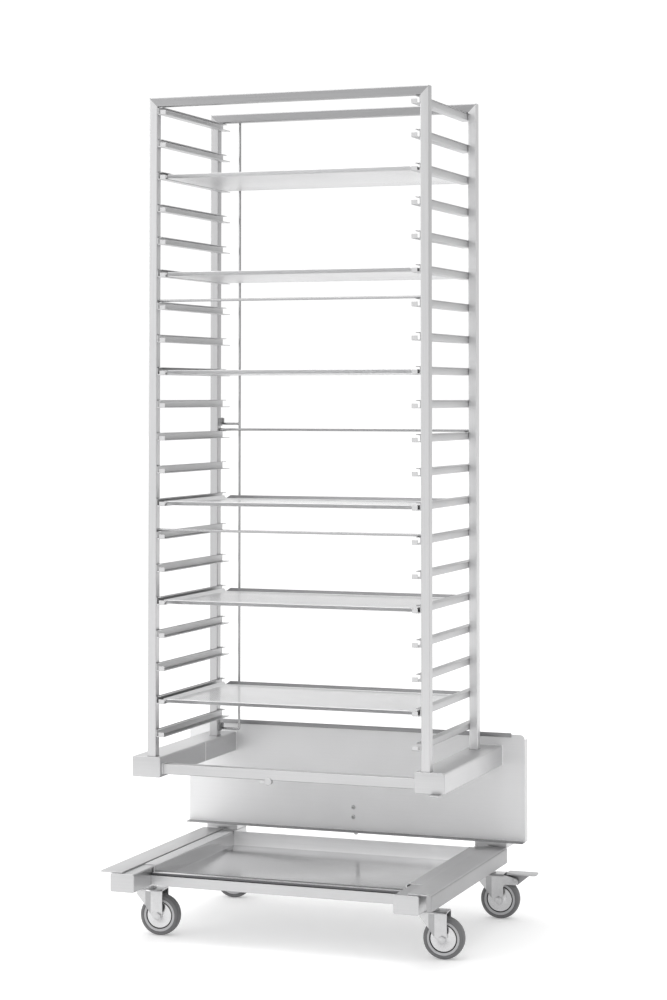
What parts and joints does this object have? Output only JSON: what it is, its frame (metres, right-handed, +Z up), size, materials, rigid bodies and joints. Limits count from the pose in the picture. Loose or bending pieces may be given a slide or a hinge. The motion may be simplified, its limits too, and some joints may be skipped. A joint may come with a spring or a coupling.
{
  "type": "drive-in trolley",
  "caption": "Drive-in trolley: a tall tray rack held off its wheeled chassis by a rear sealing plate, with trays, a swinging bar, a lift-out drip tray and swivel casters.",
  "frame": {"origin": "middle of the whole trolley's footprint, on the floor", "axes": "+Z up; +Y from the rack's front, where the tray stops are, to the sealing plate at the rear; +X to the right seen from the front"},
  "size_m": [0.7642, 0.567, 1.66],
  "materials": {
    "stainless": "satin",
    "tray_steel": "satin",
    "rod_steel": "satin",
    "eye_steel": "satin",
    "dark_steel": "satin",
    "zinc": "satin",
    "spring_steel": "satin",
    "pedal_steel": "satin",
    "core_grey": "satin",
    "tyre_grey": "matte"
  },
  "bodies": {
    "trolley": {"upright_front_left": "stainless", "upright_front_right": "stainless", "upright_rear_left": "stainless", "upright_rear_right": "stainless", "top_rails": "stainless", "runners_left": "stainless", "runners_right": "stainless", "cross_rods": "rod_steel", "upper_beam_left": "stainless", "upper_beam_right": "stainless", "tube_end_caps": "stainless", "upper_front_rail": "stainless", "sealing_plate": "stainless", "plate_posts": "stainless", "side_tube_left": "stainless", "side_tube_right": "stainless", "lower_cross_rails": "stainless", "wing_left": "stainless", "wing_right": "stainless", "rail_lug": "stainless", "beam_tab": "stainless", "bar_eyes": "eye_steel", "plate_lip": "dark_steel", "plate_screws": "zinc", "latch_housing": "zinc", "latch_spring": "spring_steel", "caster_stems": "zinc", "stem_nuts": "zinc"},
    "bar": {"retaining_bar": "rod_steel"},
    "tray_body_1": {"tray_1": "tray_steel"},
    "tray_body_2": {"tray_2": "tray_steel"},
    "tray_body_3": {"tray_3": "tray_steel"},
    "tray_body_4": {"tray_4": "tray_steel"},
    "tray_body_5": {"tray_5": "tray_steel"},
    "tray_body_6": {"tray_6": "tray_steel"},
    "drip_tray_body": {"drip_tray": "stainless"},
    "latch_pin_body": {"latch_pin": "zinc"},
    "caster_front_left": {"fork_front_left": "zinc", "axle_front_left": "zinc", "discs_front_left": "zinc"},
    "wheel_front_left": {"core_front_left": "core_grey", "tyre_front_left": "tyre_grey"},
    "caster_front_right": {"fork_front_right": "zinc", "axle_front_right": "zinc", "discs_front_right": "zinc"},
    "wheel_front_right": {"core_front_right": "core_grey", "tyre_front_right": "tyre_grey"},
    "caster_rear_left": {"fork_rear_left": "zinc", "axle_rear_left": "zinc", "discs_rear_left": "zinc"},
    "wheel_rear_left": {"core_rear_left": "core_grey", "tyre_rear_left": "tyre_grey"},
    "brake_rear_left": {"pedal_rear_left": "pedal_steel"},
    "caster_rear_right": {"fork_rear_right": "zinc", "axle_rear_right": "zinc", "discs_rear_right": "zinc"},
    "wheel_rear_right": {"core_rear_right": "core_grey", "tyre_rear_right": "tyre_grey"},
    "brake_rear_right": {"pedal_rear_right": "pedal_steel"}
  },
  "joints": [
    {"name": "bar_swing", "type": "hinge", "parent": "trolley", "child": "bar", "pos_m": [-0.28606, 0.1765, 1], "axis": [0, 0, 1], "range_deg": [0, 170]},
    {"name": "tray_1_play", "type": "slide", "parent": "trolley", "child": "tray_body_1", "axis": [0, 1, 0], "range_m": [0, 0.0032]},
    {"name": "tray_2_play", "type": "slide", "parent": "trolley", "child": "tray_body_2", "axis": [0, 1, 0], "range_m": [0, 0.0032]},
    {"name": "tray_3_play", "type": "slide", "parent": "trolley", "child": "tray_body_3", "axis": [0, 1, 0], "range_m": [0, 0.0032]},
    {"name": "tray_4_play", "type": "slide", "parent": "trolley", "child": "tray_body_4", "axis": [0, 1, 0], "range_m": [0, 0.0032]},
    {"name": "tray_5_play", "type": "slide", "parent": "trolley", "child": "tray_body_5", "axis": [0, 1, 0], "range_m": [0, 0.0032]},
    {"name": "tray_6_play", "type": "slide", "parent": "trolley", "child": "tray_body_6", "axis": [0, 1, 0], "range_m": [0, 0.0032]},
    {"name": "drip_tray_lift", "type": "slide", "parent": "trolley", "child": "drip_tray_body", "axis": [0, 0, 1], "range_m": [0, 0.12]},
    {"name": "latch_pull", "type": "slide", "parent": "trolley", "child": "latch_pin_body", "axis": [0, 0, 1], "range_m": [0, 0.01], "stiffness_N_per_m": 800, "springref_m": -0.01, "deforming": ["latch_spring"]},
    {"name": "swivel_front_left", "type": "hinge", "parent": "trolley", "child": "caster_front_left", "pos_m": [-0.30406, -0.1365, 0.09], "axis": [0, 0, 1], "continuous": true},
    {"name": "spin_front_left", "type": "hinge", "parent": "caster_front_left", "child": "wheel_front_left", "pos_m": [-0.28314, -0.13467, 0.04], "axis": [-0.0872, 0.9962, 0], "continuous": true},
    {"name": "swivel_front_right", "type": "hinge", "parent": "trolley", "child": "caster_front_right", "pos_m": [0.28394, -0.1365, 0.09], "axis": [0, 0, 1], "continuous": true},
    {"name": "spin_front_right", "type": "hinge", "parent": "caster_front_right", "child": "wheel_front_right", "pos_m": [0.30486, -0.13467, 0.04], "axis": [-0.0872, 0.9962, 0], "continuous": true},
    {"name": "swivel_rear_left", "type": "hinge", "parent": "trolley", "child": "caster_rear_left", "pos_m": [-0.30406, 0.2415, 0.09], "axis": [0, 0, 1], "continuous": true},
    {"name": "spin_rear_left", "type": "hinge", "parent": "caster_rear_left", "child": "wheel_rear_left", "pos_m": [-0.28314, 0.24333, 0.04], "axis": [-0.0872, 0.9962, 0], "continuous": true},
    {"name": "brake_rear_left_press", "type": "hinge", "parent": "caster_rear_left", "child": "brake_rear_left", "pos_m": [-0.25026, 0.24621, 0.081], "axis": [-0.0872, 0.9962, 0], "range_deg": [0, 15]},
    {"name": "swivel_rear_right", "type": "hinge", "parent": "trolley", "child": "caster_rear_right", "pos_m": [0.28394, 0.2415, 0.09], "axis": [0, 0, 1], "continuous": true},
    {"name": "spin_rear_right", "type": "hinge", "parent": "caster_rear_right", "child": "wheel_rear_right", "pos_m": [0.30486, 0.24333, 0.04], "axis": [-0.0872, 0.9962, 0], "continuous": true},
    {"name": "brake_rear_right_press", "type": "hinge", "parent": "caster_rear_right", "child": "brake_rear_right", "pos_m": [0.33774, 0.24621, 0.081], "axis": [-0.0872, 0.9962, 0], "range_deg": [0, 15]}
  ]
}
